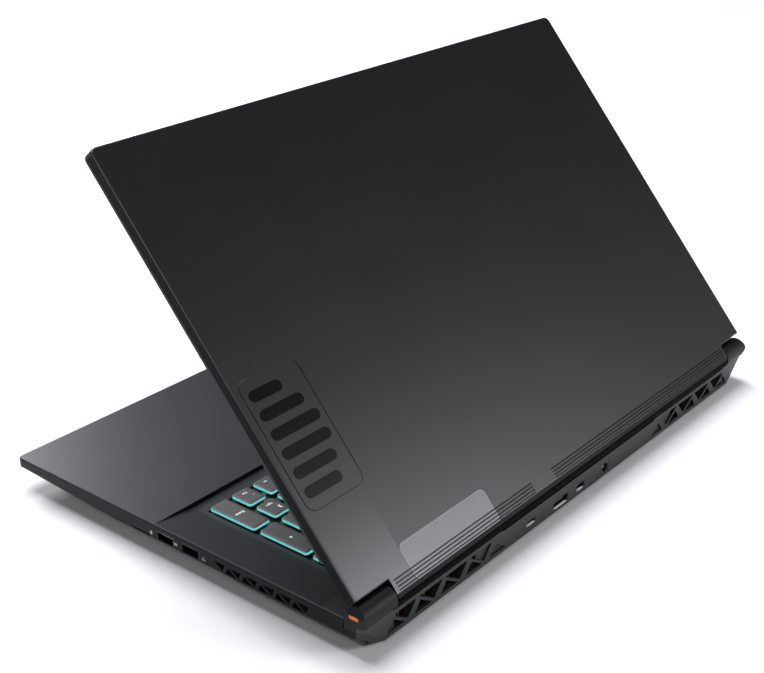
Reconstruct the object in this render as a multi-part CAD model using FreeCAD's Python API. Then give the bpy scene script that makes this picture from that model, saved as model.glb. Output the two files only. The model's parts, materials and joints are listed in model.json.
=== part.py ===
import FreeCAD, Part
import math
import os

V = FreeCAD.Vector

# Base: X runs to the user's right, Y to the rear, Z up from the desk, all in millimetres
base_width = 396.0
base_depth = 265.0
base_height = 18.2
foot_height = 1.8
side_height = 9.1
front_height = 5.4
seam_place = 180.0
wall = 1.8
deck_wall = 2.0
plan_radius = 3.0
edge_chamfer = 0.6
front_undercut = 26.0
side_undercut = 22.0
tail_undercut = 8.0
tail_place = 104.2
tail_ramp = 20.0
corner_drop = 2.2
corner_slope = V(0.41, 0.78, -0.47)
fit_gap = 0.3

# Hinge and lid, measured with the lid shut
barrel_radius = 6.7
hinge_rise = 2.0
trough_gap = 0.8
trough_wall = 1.4
cap_length = 24.7
cap_gap = 0.8
cap_wall = 2.5
cap_end = 5.6
cap_facet = 2.0
cap_facet_drop = 4.5
notch_gap = 0.7
open_angle = 49.4
lid_thickness = 7.2
lid_wall = 1.4
rim_wall = 1.6
bezel_wall = 1.6
bezel_step = 3.0
bezel_step_length = 24.0
lid_setback = 0.3
lid_radius = 4.0
groove_pitch = 1.85
groove_width = 0.7
groove_depth = 0.35
groove_count = 4
groove_end = 2.4
groove_break = 20.0
groove_break_place = 156.0
pin_radius = 2.4
pin_clearance = 0.05
pin_reach = 20.0
knuckle_half = 3.6
knuckle_room = 0.6
bracket_thickness = 1.6
leaf_length = 30.0
bumper_length = 16.0
bumper_width = 3.0
bumper_shares = (0.3, 0.75)

# Display
side_margin = 7.0
top_margin = 9.0
chin_margin = 26.7
screen_overlap = 2.5
panel_thickness = 2.0
tray_thickness = 1.2
camera_width = 58.0
camera_thickness = 2.4
lens_radius = 1.8

# Rear vent frame: its truss has leaning bars between an upper and a lower row of windows,
# counted from the right-hand edge
frame_wall = 3.0
frame_inset = 3.0
frame_lip = 1.0
shoulder_rise = 3.5
vent_length = 92.0
truss_start = 24.2
truss_pitch = 21.5
truss_rail = 2.4
truss_edge = 1.5
truss_count = 4
blind_depth = 1.2

# Side vents
side_vent_place = 103.5
side_vent_pitch = 11.6
side_vent_count = 6
side_vent_rib = 2.6
side_vent_height = 4.6
side_vent_sill = 0.6
side_vent_web = 0.13
side_vent_lean = 2.1

# Keyboard: rows count from the space bar, the last one is the shallow function row
keyboard_side = 28.7
unit_count = 15
pad_pitch = 16.4
pad_count = 4
row_pitch = 18.75
row_count = 5
function_depth = 13.4
key_gap = 3.9
key_height = 2.3
key_travel = 1.5
key_float = 0.2
key_draft = 0.4
key_post = 4.4
key_post_gap = 0.15
keyboard_setback = 17.7
keyboard_edge = 0.9
well_front_gap = 8.75
well_margin = 1.7
well_depth = 2.4
well_wall = 1.6
plate_thickness = 1.2
plate_rim = 1.6
plate_edge = 2.0
plate_margin = 3.0
guide_thickness = 0.8

# Touchpad and power button
touchpad_width = 118.0
touchpad_front = 26.0
touchpad_rear_gap = 15.5
touchpad_shift = -32.0
touchpad_thickness = 1.4
touchpad_sink = 0.2
button_width = 16.0
button_depth = 7.0
button_height = 3.0
button_rise = 0.3
small_corner = 2.0

# Sockets: width, height and the cut corners below and above
port_depth = 13.0
port_shell = 0.5
port_back = 2.0
port_lip = 0.2
tongue_setback = 1.5
tongue_share = 0.7
serial_shape = (13.2, 5.9, 0.0, 0.0)
network_shape = (13.4, 6.0, 0.0, 0.0)
card_shape = (13.0, 2.2, 0.0, 0.0)
upper_tongue = (0.6, 0.88)
middle_tongue = (0.38, 0.62)
audio_block = 5.6
audio_bore = 1.8
inlet_size = 7.2
inlet_bore = 2.75
inlet_pin = 1.0

# Where each socket's middle lies, from the rear edge on the sides and from the right-hand edge at the rear
card_place = 158.0
serial_place = 139.5
network_place = 120.2
audio_place = 162.0
inlet_place = 222.2
rear_ports = {
    "reversible_port": ((9.2, 3.4, 1.1, 1.1), 144.3),
    "video_port": ((15.2, 5.6, 1.6, 0.0), 174.3),
    "small_display_port": ((8.4, 4.6, 1.2, 0.0), 195.0),
}

# Cooling and inner pieces
board_thickness = 1.6
board_inset = 10.0
board_gap = 3.0
boss_width = 6.0
boss_inset = 7.0
fan_width = 76.0
fan_depth = 71.0
fan_place = 71.0
fan_radius = 32.5
fan_corner = 6.0
fan_wall = 1.0
fan_height = 8.4
fan_bridge = 9.0
rotor_gap = 1.2
rotor_lift = 0.4
hub_radius = 12.0
spindle_radius = 1.5
intake_radius = 22.0
intake_pitch = 6.0
intake_slot = 2.6
blade_count = 13
blade_thickness = 1.2
blade_sweep = 24.0
fin_pitch = 5.0
fin_thickness = 0.8
fin_depth = 20.0
fin_gap = 2.0
pipe_width = 3.8
pipe_height = 3.0
pipe_pitch = 4.6
pipe_bend = 16.6
cooler_size = 40.0
cooler_thickness = 2.2
cooler_place = 79.0
cooler_spread = 36.0
memory_size = (69.6, 30.0, 1.9)
storage_size = (22.0, 42.0, 2.4)
wireless_size = (22.0, 30.0, 2.2)
battery_front = 34.0
battery_depth = 66.0
battery_side = 93.0
battery_height = 8.6
speaker_size = (44.0, 50.0)
speaker_gap = 6.0
speaker_slot = 1.6
speaker_slot_pitch = 4.0
speaker_slot_count = 5
foot_length = 120.0
foot_width = 9.0
foot_inset = 16.0

# Worked out from the sizes above
half_width = base_width / 2
half_depth = base_depth / 2
front_y = -half_depth
floor_z = foot_height
deck_z = foot_height + base_height
seam_z = deck_z - side_height
seam_front_z = deck_z - front_height
seam_bend_y = half_depth - seam_place
tail_y = half_depth - tail_place
inner_floor_z = floor_z + wall
hinge_y = half_depth - barrel_radius
hinge_z = deck_z + hinge_rise
trough_radius = barrel_radius + trough_gap
tower_z = hinge_z - trough_radius
shoulder_z = tower_z + shoulder_rise
under_trough_z = tower_z - trough_wall
deck_rear_y = hinge_y - math.sqrt(trough_radius ** 2 - hinge_rise ** 2)
frame_rear_y = half_depth - frame_inset
frame_front_y = frame_rear_y - frame_wall
cap_inner_x = half_width - cap_length
vent_inner_x = cap_inner_x - vent_length
barrel_half = cap_inner_x - cap_gap
arm_inner_x = barrel_half - pin_reach
lid_back_z = hinge_z + barrel_radius
lid_inner_z = lid_back_z - lid_thickness
rim_z = lid_inner_z + bezel_wall
tray_z = rim_z + panel_thickness
lid_front_y = front_y + lid_setback
lid_middle_y = lid_front_y + top_margin / 2
notch_y = hinge_y - barrel_radius - notch_gap
screen_width = base_width - 2 * side_margin
screen_height = notch_y - lid_front_y - top_margin - chin_margin
keyboard_half = half_width - keyboard_side
key_pitch = (2 * keyboard_half - pad_count * pad_pitch) / unit_count
keyboard_rear_y = deck_rear_y - keyboard_setback
keyboard_front_y = keyboard_rear_y - row_count * row_pitch - function_depth
well_front_y = keyboard_front_y - well_front_gap
well_rear_y = keyboard_rear_y + key_gap
well_half = keyboard_half + well_margin
well_floor_z = deck_z - well_depth
plate_top_z = well_floor_z - well_wall
plate_low_z = plate_top_z - plate_thickness
guide_top_z = plate_low_z - plate_rim
key_bottom_z = plate_top_z + key_travel + key_float
key_top_z = key_bottom_z + key_height
touchpad_top_z = deck_z - touchpad_sink
touchpad_depth = well_front_y - front_y - touchpad_front - touchpad_rear_gap
button_top_z = deck_z + button_rise
board_top_z = seam_z
board_z = board_top_z - board_thickness
battery_y = front_y + battery_front + battery_depth / 2
battery_top_z = inner_floor_z + battery_height
battery_width = base_width - 2 * battery_side
speaker_x = battery_width / 2 + speaker_gap + speaker_size[0] / 2
board_front_y = battery_y + battery_depth / 2 + board_gap
fin_inner_x = vent_inner_x + fin_gap
fin_rear_y = frame_front_y - fit_gap
board_half = fin_inner_x - fin_gap
module_y = board_front_y + board_gap + fin_gap
fan_x = half_width - wall - fin_depth - fan_width / 2 - fin_gap
fan_y = half_depth - fan_place
fan_top_z = inner_floor_z + fan_height
rotor_z = inner_floor_z + fan_wall + rotor_lift
rotor_top_z = fan_top_z - fan_wall - rotor_lift
cooler_y = half_depth - cooler_place
cooler_z = board_z - cooler_thickness
audio_z = board_top_z + audio_block / 2
port_rear_y = frame_rear_y - port_lip
far = 1.5 * base_width
overcut = fit_gap


def box(x0, x1, y0, y1, z0, z1):
    return Part.makeBox(x1 - x0, y1 - y0, z1 - z0, V(x0, y0, z0))


def centred_box(x, y, width, depth, z0, z1):
    return box(x - width / 2, x + width / 2, y - depth / 2, y + depth / 2, z0, z1)


def face_of(corners):
    return Part.Face(Part.makePolygon(corners + corners[:1]))


def prism_x(points, x0, x1):
    return face_of([V(x0, y, z) for y, z in points]).extrude(V(x1 - x0, 0, 0))


def prism_y(points, y0, y1):
    return face_of([V(x, y0, z) for x, z in points]).extrude(V(0, y1 - y0, 0))


def prism_z(points, z0, z1):
    return face_of([V(x, y, z0) for x, y in points]).extrude(V(0, 0, z1 - z0))


def rod_x(radius, x0, x1, y, z):
    return Part.makeCylinder(radius, x1 - x0, V(x0, y, z), V(1, 0, 0))


def rod_y(radius, x, y0, y1, z):
    return Part.makeCylinder(radius, y1 - y0, V(x, y0, z), V(0, 1, 0))


def rod_z(radius, x, y, z0, z1):
    return Part.makeCylinder(radius, z1 - z0, V(x, y, z0), V(0, 0, 1))


def rounded_plate(x, y, width, depth, z0, z1, radius):
    block = centred_box(x, y, width, depth, z0, z1)
    upright = [edge for edge in block.Edges if edge.BoundBox.ZLength > (z1 - z0) / 2]
    return block.makeFillet(radius, upright)


def cut_plate(x, y, width, depth, z0, z1, corner):
    half_x, half_y = width / 2, depth / 2
    outline = []
    for side_x, side_y in ((1, -1), (1, 1), (-1, 1), (-1, -1)):
        near_side = (x + side_x * half_x, y + side_y * (half_y - corner))
        near_end = (x + side_x * (half_x - corner), y + side_y * half_y)
        outline += [near_end, near_side] if side_x != side_y else [near_side, near_end]
    return prism_z(outline, z0, z1)


def between(start, end, share):
    return tuple(a + (b - a) * share for a, b in zip(start, end))


def half_space(point, normal):
    block = Part.makeBox(far, far, far, V(-far / 2, -far / 2, 0))
    block.Placement = FreeCAD.Placement(point, FreeCAD.Rotation(V(0, 0, 1), normal))
    return block


def mirrored(shape):
    return shape.mirror(V(0, 0, 0), V(1, 0, 0))


def both_sides(shape):
    return [shape, mirrored(shape)]


def cut_all(shape, tools):
    return shape.cut(Part.makeCompound(tools))


def fuse_all(shapes):
    return shapes[0].multiFuse(shapes[1:]).removeSplitter()


def opened(shape):
    return shape.rotate(V(0, hinge_y, hinge_z), V(1, 0, 0), -open_angle)


def save(name, shape):
    shape.exportStep("parts/" + name + ".step")


# Outer forms that the shells of the base share

def plan_block(inset, z0, z1):
    x = half_width - inset
    block = box(-x, x, front_y + inset, frame_front_y, z0, z1)
    corners = [edge for edge in block.Edges if edge.BoundBox.ZLength > wall and edge.CenterOfMass.y < 0]
    return block.makeFillet(plan_radius - inset / 2, corners)


def corner_cutters():
    corner = V(half_width, frame_front_y, tower_z - corner_drop)
    return both_sides(half_space(corner, corner_slope))


def slope_cutter(edge, slope, inset):
    slope.normalize()
    return half_space(edge - slope * inset, slope)


def lower_block(inset):
    bottom = floor_z + inset
    profile = [
        (front_y, seam_front_z),
        (seam_bend_y, seam_z),
        (frame_front_y, seam_z),
        (frame_front_y, bottom),
        (front_y + front_undercut, bottom),
    ]
    block = prism_x(profile, -half_width, half_width)
    bend = V(half_width, seam_bend_y, seam_z)
    level = V(seam_z - floor_z, 0, -side_undercut)
    seam_run = V(0, seam_bend_y - front_y, seam_z - seam_front_z)
    falling = V(-side_undercut, 0, floor_z - seam_z).cross(seam_run)
    front = V(0, floor_z - seam_front_z, -front_undercut)
    tools = [slope_cutter(V(0, front_y, seam_front_z), front, inset)]
    for slope in (level, falling):
        tools += both_sides(slope_cutter(bend, slope, inset))
    return cut_all(block, tools)


def tail_block(inset):
    bottom = floor_z + inset
    profile = [
        (tail_y, seam_z),
        (frame_front_y, seam_z),
        (frame_front_y, bottom),
        (tail_y + tail_ramp, bottom),
    ]
    block = prism_x(profile, -half_width, half_width)
    side = V(seam_z - floor_z, 0, -tail_undercut)
    ramp = V(0, floor_z - seam_z, -tail_ramp)
    tools = both_sides(slope_cutter(V(half_width, 0, seam_z), side, inset))
    tools.append(slope_cutter(V(0, tail_y, seam_z), ramp, inset))
    return cut_all(block, tools)


# Sockets, made with the mouth on the plane x = 0 and the shell behind it

def socket_outline(shape, grow):
    width, height, low_cut, high_cut = shape
    half = width / 2 + grow
    low, high = -grow, height + grow
    outline = []
    for side in (-1, 1):
        corners = [(half, high - high_cut), (half - high_cut, high)]
        corners = [(half - low_cut, low), (half, low + low_cut)] + corners
        if side < 0:
            corners = [(-y, z) for y, z in reversed(corners)]
        for corner in corners:
            if corner not in outline:
                outline.append(corner)
    return outline


def socket(shape, tongue=None):
    width, height = shape[:2]
    shell = prism_x(socket_outline(shape, 0), -port_depth, 0)
    shell = shell.cut(prism_x(socket_outline(shape, -port_shell), port_back - port_depth, overcut))
    if tongue is None:
        return shell
    low, high = tongue
    bar_half = width * tongue_share / 2
    bar = box(port_back / 2 - port_depth, -tongue_setback, -bar_half, bar_half, height * low, height * high)
    return shell.fuse(bar)


def at_side(solid, place, side):
    seated = solid.translated(V(half_width - port_lip, half_depth - place, board_top_z))
    return seated if side > 0 else mirrored(seated)


def at_rear(solid, shape, place):
    turned = solid.rotated(V(0, 0, 0), V(0, 0, 1), 90)
    return turned.translated(V(half_width - place, port_rear_y, board_z - shape[1]))


def side_opening(shape, place, side):
    return at_side(prism_x(socket_outline(shape, port_lip), -wall - fit_gap, wall), place, side)


def rear_opening(shape, place):
    return at_rear(prism_x(socket_outline(shape, port_lip), -2 * frame_wall, frame_wall), shape, place)


def power_inlet():
    x = half_width - inlet_place
    z = inner_floor_z + inlet_size / 2
    y0 = port_rear_y - port_depth
    half = inlet_size / 2
    body = box(x - half, x + half, y0, port_rear_y, inner_floor_z, inner_floor_z + inlet_size)
    body = body.cut(rod_y(inlet_bore, x, y0 + port_back, port_rear_y + overcut, z))
    return body.fuse(rod_y(inlet_pin, x, y0 + port_back / 2, port_rear_y - tongue_setback, z))


def inlet_room():
    x = half_width - inlet_place
    half = inlet_size / 2 + port_lip
    y0 = port_rear_y - port_depth - port_lip
    return box(x - half, x + half, y0, half_depth, inner_floor_z, inner_floor_z + inlet_size + port_lip)


def audio_socket():
    y = half_depth - audio_place
    x0 = wall + fit_gap - half_width
    x1 = x0 + port_depth
    body = box(x0, x1, y - audio_block / 2, y + audio_block / 2, board_top_z, board_top_z + audio_block)
    return body.cut(rod_x(audio_bore, x0 - overcut, x1 - port_back / 2, y, audio_z))


def audio_opening():
    radius = audio_bore + 2 * port_lip
    x0, x1 = -half_width - overcut, wall + overcut - half_width
    return rod_x(radius, x0, x1, half_depth - audio_place, audio_z)


# Side vents: leaning cells in the tail, each split by a slanting web, with only the upper half of the first

def side_vents():
    sill = seam_z + side_vent_sill
    head = sill + side_vent_height
    windows = []
    for cell in range(side_vent_count):
        y0 = half_depth - side_vent_place + cell * side_vent_pitch
        y1 = y0 + side_vent_pitch - side_vent_rib
        front, rear = (y0, head), (y1 - side_vent_lean, sill)
        corners = [(y1, head), (y0 - side_vent_lean, sill)] if cell else [(y1, head)]
        for corner in corners:
            outline = [corner, between(front, corner, side_vent_web), between(rear, corner, side_vent_web)]
            windows.append(prism_x(outline, half_width - wall - overcut, half_width + overcut))
    return Part.makeCompound(windows)


# Top case: the deck falls from both sides to the sunken keyboard

def well():
    slope = [
        (-half_width, deck_z),
        (-well_half, well_floor_z),
        (well_half, well_floor_z),
        (half_width, deck_z),
        (half_width, deck_z + overcut),
        (-half_width, deck_z + overcut),
    ]
    return prism_y(slope, well_front_y, well_rear_y)


def top_cavity():
    x = half_width - wall
    ceiling = deck_z - deck_wall
    edge_z = deck_z - well_depth * wall / (half_width - well_half) - well_wall
    front = well_front_y - well_wall
    rear = well_rear_y + well_wall
    trough_front = hinge_y - trough_radius - trough_wall
    slope = [(-x, 0), (-x, edge_z), (-well_half, plate_top_z), (well_half, plate_top_z), (x, edge_z), (x, 0)]
    palm = box(-x, x, front_y + wall, front, 0, ceiling)
    middle = prism_y(slope, front, rear)
    strip = box(-x, x, rear, trough_front, 0, ceiling)
    tail = box(-x, x, trough_front - overcut, frame_front_y + overcut, 0, under_trough_z)
    return fuse_all([palm, middle, strip, tail]).common(plan_block(wall, 0, deck_z))


def keyboard_opening():
    reach = keyboard_edge - key_gap / 2
    y = (keyboard_front_y + keyboard_rear_y) / 2
    depth = keyboard_rear_y - keyboard_front_y
    return centred_box(0, y, 2 * (keyboard_half + reach), depth + 2 * reach, plate_low_z, deck_z)


def touchpad_block(grow, z0, z1):
    y = front_y + touchpad_front + touchpad_depth / 2
    width, depth = touchpad_width + 2 * grow, touchpad_depth + 2 * grow
    return rounded_plate(touchpad_shift, y, width, depth, z0, z1, small_corner + grow)


def button_block(grow, z0, z1):
    y = (well_rear_y + deck_rear_y) / 2
    return cut_plate(0, y, button_width + 2 * grow, button_depth + 2 * grow, z0, z1, small_corner)


def top_case():
    seam = [
        (front_y, seam_front_z),
        (front_y, deck_z),
        (frame_front_y, deck_z),
        (frame_front_y, seam_z),
        (seam_bend_y, seam_z),
    ]
    block = plan_block(0, 0, deck_z)
    rim = []
    for edge in block.Edges:
        if edge.BoundBox.ZMin > deck_z - overcut and edge.CenterOfMass.y < frame_front_y - overcut:
            rim.append(edge)
    block = block.makeChamfer(edge_chamfer, rim).common(prism_x(seam, -half_width, half_width))
    trough = rod_x(trough_radius, -cap_inner_x, cap_inner_x, hinge_y, hinge_z)
    tower = box(cap_inner_x, half_width + overcut, deck_rear_y, half_depth, tower_z, far)
    tools = [trough, top_cavity(), well(), keyboard_opening()] + both_sides(tower) + corner_cutters()
    tools.append(touchpad_block(fit_gap, 0, deck_z + overcut))
    tools.append(button_block(fit_gap, 0, deck_z + overcut))
    tools.append(side_opening(card_shape, card_place, 1))
    tools.append(side_opening(network_shape, network_place, 1))
    for side in (1, -1):
        tools.append(side_opening(serial_shape, serial_place, side))
    tools.append(audio_opening())
    return cut_all(block, tools + both_sides(side_vents()))


# Bottom cover: an undercut tub with a wider tail, slots under fans and speakers, and bosses for the board

def boss_places():
    front_row = board_front_y + boss_inset
    rear_row = cooler_y + cooler_size / 2 + 2 * boss_inset
    return [(board_half + boss_inset, front_row), (board_half - boss_inset, rear_row)]


def intake_slots():
    reach = intake_radius + intake_pitch
    rows = math.ceil(reach / intake_pitch)
    slots = []
    for row in range(1 - rows, rows):
        offset = row * intake_pitch
        length = 2 * math.sqrt(reach ** 2 - offset ** 2)
        slots.append(centred_box(fan_x, fan_y + offset, length, intake_slot, 0, inner_floor_z + overcut))
    return Part.makeCompound(slots)


def speaker_slots():
    slots = []
    for step in range(speaker_slot_count):
        y = battery_y + (step - (speaker_slot_count - 1) / 2) * speaker_slot_pitch
        length = speaker_size[0] - 2 * speaker_gap
        slots.append(centred_box(speaker_x, y, length, speaker_slot, 0, inner_floor_z + overcut))
    return Part.makeCompound(slots)


def bottom_cover():
    outer = fuse_all([lower_block(0), tail_block(0)]).common(plan_block(0, 0, deck_z))
    shell = outer.cut(fuse_all([lower_block(wall), tail_block(wall)]))
    bosses = []
    for x, y in boss_places():
        boss = cut_plate(x, y, boss_width, boss_width, inner_floor_z - wall / 2, board_z, boss_width / 4)
        bosses += both_sides(boss)
    tools = both_sides(intake_slots()) + both_sides(speaker_slots()) + corner_cutters()
    return cut_all(fuse_all([shell] + bosses), tools)


# Rear vent frame: window corners are shares of the truss pitch and of the window height

upper_window = ((0.0, 1.0), (0.86, 1.0), (0.54, 0.1), (0.01, 0.88))
lower_window = ((0.01, 0.7), (-0.21, 0.0), (0.45, 0.0))
open_share = 0.25


def truss_window(corners, module, y0):
    low, high = floor_z + truss_rail, tower_z + frame_lip - truss_rail
    start = half_width - truss_start - module * truss_pitch
    outline = [(start - along * truss_pitch, low + up * (high - low)) for along, up in corners]
    return prism_y(outline, y0, half_depth)


# The first and the last windows are open inside these limits and blind beyond them
def truss_windows():
    blind_y = frame_rear_y - blind_depth
    through = frame_front_y - overcut
    last = truss_count - 1
    last_x = half_width - truss_start - (last + open_share) * truss_pitch
    opening = box(last_x, cap_inner_x - truss_edge, through, half_depth, 0, far)
    windows = [truss_window(lower_window, truss_count, blind_y)]
    for module in range(truss_count):
        for corners in (upper_window, lower_window):
            window = truss_window(corners, module, through)
            windows.append(window.common(opening) if corners is upper_window or module == 0 else window)
    windows.append(truss_window(lower_window, 0, blind_y))
    windows.append(truss_window(upper_window, last, blind_y))
    return Part.makeCompound(windows)


def rear_vent_frame():
    rail_z = tower_z + frame_lip
    right = [
        (half_width, floor_z),
        (half_width, shoulder_z),
        (cap_inner_x, shoulder_z),
        (cap_inner_x, rail_z),
        (vent_inner_x, rail_z),
        (vent_inner_x - frame_lip, tower_z),
    ]
    outline = right + [(-across, z) for across, z in reversed(right)]
    body = prism_y(outline, frame_front_y, frame_rear_y)
    side = half_space(V(half_width, 0, seam_z), V(seam_z - floor_z, 0, -tail_undercut))
    tools = [rod_x(trough_radius, -cap_inner_x, cap_inner_x, hinge_y, hinge_z), inlet_room()]
    tools += both_sides(truss_windows()) + both_sides(side) + corner_cutters()
    tools += [rear_opening(shape, place) for shape, place in rear_ports.values()]
    return cut_all(body, tools)


# Hinge: a cap over each end, seated on the frame's shoulder, hides the bracket that carries the pin

def hinge_cap():
    seat_y = frame_front_y - fit_gap
    outline = [
        (hinge_y - barrel_radius, tower_z),
        (hinge_y - barrel_radius, hinge_z),
        (half_depth, hinge_z),
        (frame_rear_y, shoulder_z),
        (seat_y, shoulder_z),
        (seat_y, tower_z),
    ]
    barrel = rod_x(barrel_radius, cap_inner_x, half_width, hinge_y, hinge_z)
    cap = fuse_all([barrel, prism_x(outline, cap_inner_x, half_width)])
    room = knuckle_half + knuckle_room
    x0, x1 = cap_inner_x + cap_wall, half_width - cap_end
    pocket = box(x0, x1, hinge_y - room, hinge_y + room, tower_z - overcut, hinge_z + room)
    passage = rod_x(pin_radius + knuckle_room, cap_inner_x - overcut, x0 + overcut, hinge_y, hinge_z)
    facet_top = V(half_width - cap_facet, hinge_y, hinge_z + barrel_radius)
    facet = half_space(facet_top, V(cap_facet_drop, 0, cap_facet))
    seat = box(cap_inner_x - overcut, far, seat_y, far, 0, shoulder_z)
    return cut_all(cap, [pocket, passage, facet, seat, corner_cutters()[0]])


def hinge_bracket():
    x0, x1 = cap_inner_x + 2 * cap_wall, half_width - cap_end - cap_wall
    y0, y1 = hinge_y - knuckle_half, hinge_y + knuckle_half
    knuckle = box(x0, x1, y0, y1, hinge_z - knuckle_half, hinge_z + knuckle_half)
    leg = box(x0, x1, y0, y0 + bracket_thickness, tower_z, hinge_z)
    foot = box(x0, x1, y0, frame_front_y - fit_gap, tower_z, tower_z + bracket_thickness)
    bore = rod_x(pin_radius + pin_clearance, x0 - overcut, x1 + overcut, hinge_y, hinge_z)
    return fuse_all([knuckle, leg, foot]).cut(bore)


def hinge_pin():
    return rod_x(pin_radius, arm_inner_x, half_width - cap_end - bracket_thickness, hinge_y, hinge_z)


def hinge_arm():
    x0, x1 = arm_inner_x + rim_wall, barrel_half - 2 * rim_wall
    leaf_top = lid_back_z - lid_wall
    y0, y1 = hinge_y - knuckle_half, hinge_y + knuckle_half
    knuckle = box(x0, x1, y0, y1, hinge_z - knuckle_half, hinge_z + knuckle_half)
    neck = box(x0, x1, y0, y0 + bracket_thickness, hinge_z, leaf_top)
    leaf = box(x0, x1, hinge_y - leaf_length, y0 + bracket_thickness, leaf_top - bracket_thickness, leaf_top)
    bore = rod_x(pin_radius, x0 - overcut, x1 + overcut, hinge_y, hinge_z)
    return fuse_all([knuckle, neck, leaf]).cut(bore)


# Lid, built shut and then opened about the hinge

def lid_block(inset, barrel_edge, z0, z1):
    x = half_width - inset
    tongue = barrel_half - inset
    front, notch = lid_front_y + inset, notch_y - inset
    right = [(x, front), (x, notch), (tongue, notch), (tongue, barrel_edge)]
    block = prism_z(right + [(-across, y) for across, y in reversed(right)], z0, z1)
    corners = [
        edge for edge in block.Edges
        if edge.BoundBox.ZLength > (z1 - z0) / 2 and edge.CenterOfMass.y < front + overcut
    ]
    return block.makeFillet(lid_radius - inset / 2, corners)


def barrel_tube(y0, y1, z1):
    tube = rod_x(barrel_radius, -barrel_half, barrel_half, hinge_y, hinge_z)
    tube = tube.cut(rod_x(barrel_radius - lid_wall, -half_width, half_width, hinge_y, hinge_z))
    return tube.common(box(-half_width, half_width, y0, y1, 0, z1))


def lid_cover():
    block = lid_block(0, hinge_y, rim_z, lid_back_z)
    rim = []
    for edge in block.Edges:
        middle = edge.CenterOfMass
        on_back = edge.BoundBox.ZMin > lid_back_z - overcut
        if on_back and (abs(middle.x) > barrel_half + overcut or middle.y < 0):
            rim.append(edge)
    block = block.makeChamfer(edge_chamfer, rim)
    hollow = lid_block(rim_wall, hinge_y, rim_z - overcut, lid_back_z - lid_wall)
    half_tube = barrel_tube(hinge_y, half_depth + overcut, far)
    end_wall = rod_x(barrel_radius - lid_wall, barrel_half - rim_wall, barrel_half, hinge_y, hinge_z)
    shell = fuse_all([block.cut(hollow), half_tube] + both_sides(end_wall))
    tools = [rod_x(pin_radius, -half_width, half_width, hinge_y, hinge_z)]
    groove_half = barrel_half - groove_end
    break_x = half_width - groove_break_place
    for step in range(groove_count):
        y0 = hinge_y - groove_pitch * step - groove_width / 2
        for x0, x1 in ((-groove_half, break_x - groove_break / 2), (break_x + groove_break / 2, groove_half)):
            tools.append(box(x0, x1, y0, y0 + groove_width, lid_back_z - groove_depth, far))
    return cut_all(shell, tools)


def lid_bezel():
    plate = lid_block(0, hinge_y - barrel_radius + lid_wall / 2, lid_inner_z, rim_z)
    quarter_tube = barrel_tube(hinge_y - barrel_radius - overcut, hinge_y, rim_z)
    window_y = lid_front_y + top_margin + screen_height / 2
    window = centred_box(0, window_y, screen_width, screen_height, 0, far)
    lens_hole = rod_z(lens_radius, 0, lid_middle_y, 0, far)
    step = box(half_width - bezel_step, half_width, notch_y - bezel_step_length, notch_y, 0, far)
    return cut_all(fuse_all([plate, quarter_tube]), [window, lens_hole] + both_sides(step))


def display_sheet(z0, z1):
    y = lid_front_y + top_margin + screen_height / 2
    return centred_box(0, y, screen_width + 2 * screen_overlap, screen_height + 2 * screen_overlap, z0, z1)


def camera_module():
    y0 = lid_front_y + rim_wall + fit_gap
    y1 = lid_front_y + top_margin - screen_overlap - fit_gap
    return box(-camera_width / 2, camera_width / 2, y0, y1, rim_z, rim_z + camera_thickness)


def lid_bumpers():
    pads = []
    for share in bumper_shares:
        x = share * half_width
        pad = centred_box(x, lid_middle_y, bumper_length, bumper_width, deck_z + fit_gap, lid_inner_z)
        pads += both_sides(pad)
    return Part.makeCompound(pads)


# Keys: each has a drafted cap on a post that runs in a slot of the plate

def key_outline(cell, inset, z):
    x0, x1, y0, y1 = cell[0] + inset, cell[1] - inset, cell[2] + inset, cell[3] - inset
    corners = [(x0, y0), (x1, y0), (x1, y1), (x0, y1)]
    return Part.makePolygon([V(x, y, z) for x, y in corners + corners[:1]])


def key(cell):
    half_gap = key_gap / 2
    skirt = key_outline(cell, half_gap, key_bottom_z)
    top = key_outline(cell, half_gap + key_draft, key_top_z)
    cap = Part.makeLoft([skirt, top], True, True)
    x, y = (cell[0] + cell[1]) / 2, (cell[2] + cell[3]) / 2
    post = centred_box(x, y, key_post, key_post, plate_low_z + key_float, key_bottom_z + key_draft)
    return cap.fuse(post)


def row_span(row, rows=1):
    y0 = keyboard_front_y + row * row_pitch
    return y0, y0 + (function_depth if row == row_count else rows * row_pitch)


def row_cells(row, units):
    x = -keyboard_half
    cells = []
    for unit in units:
        cells.append((x, x + unit * key_pitch) + row_span(row))
        x += unit * key_pitch
    return cells


def pad_cell(column, row, rows=1):
    x0 = keyboard_half - (pad_count - column) * pad_pitch
    return (x0, x0 + pad_pitch) + row_span(row, rows)


def pad_row(row, columns):
    return [pad_cell(column, row) for column in range(columns)]


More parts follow.
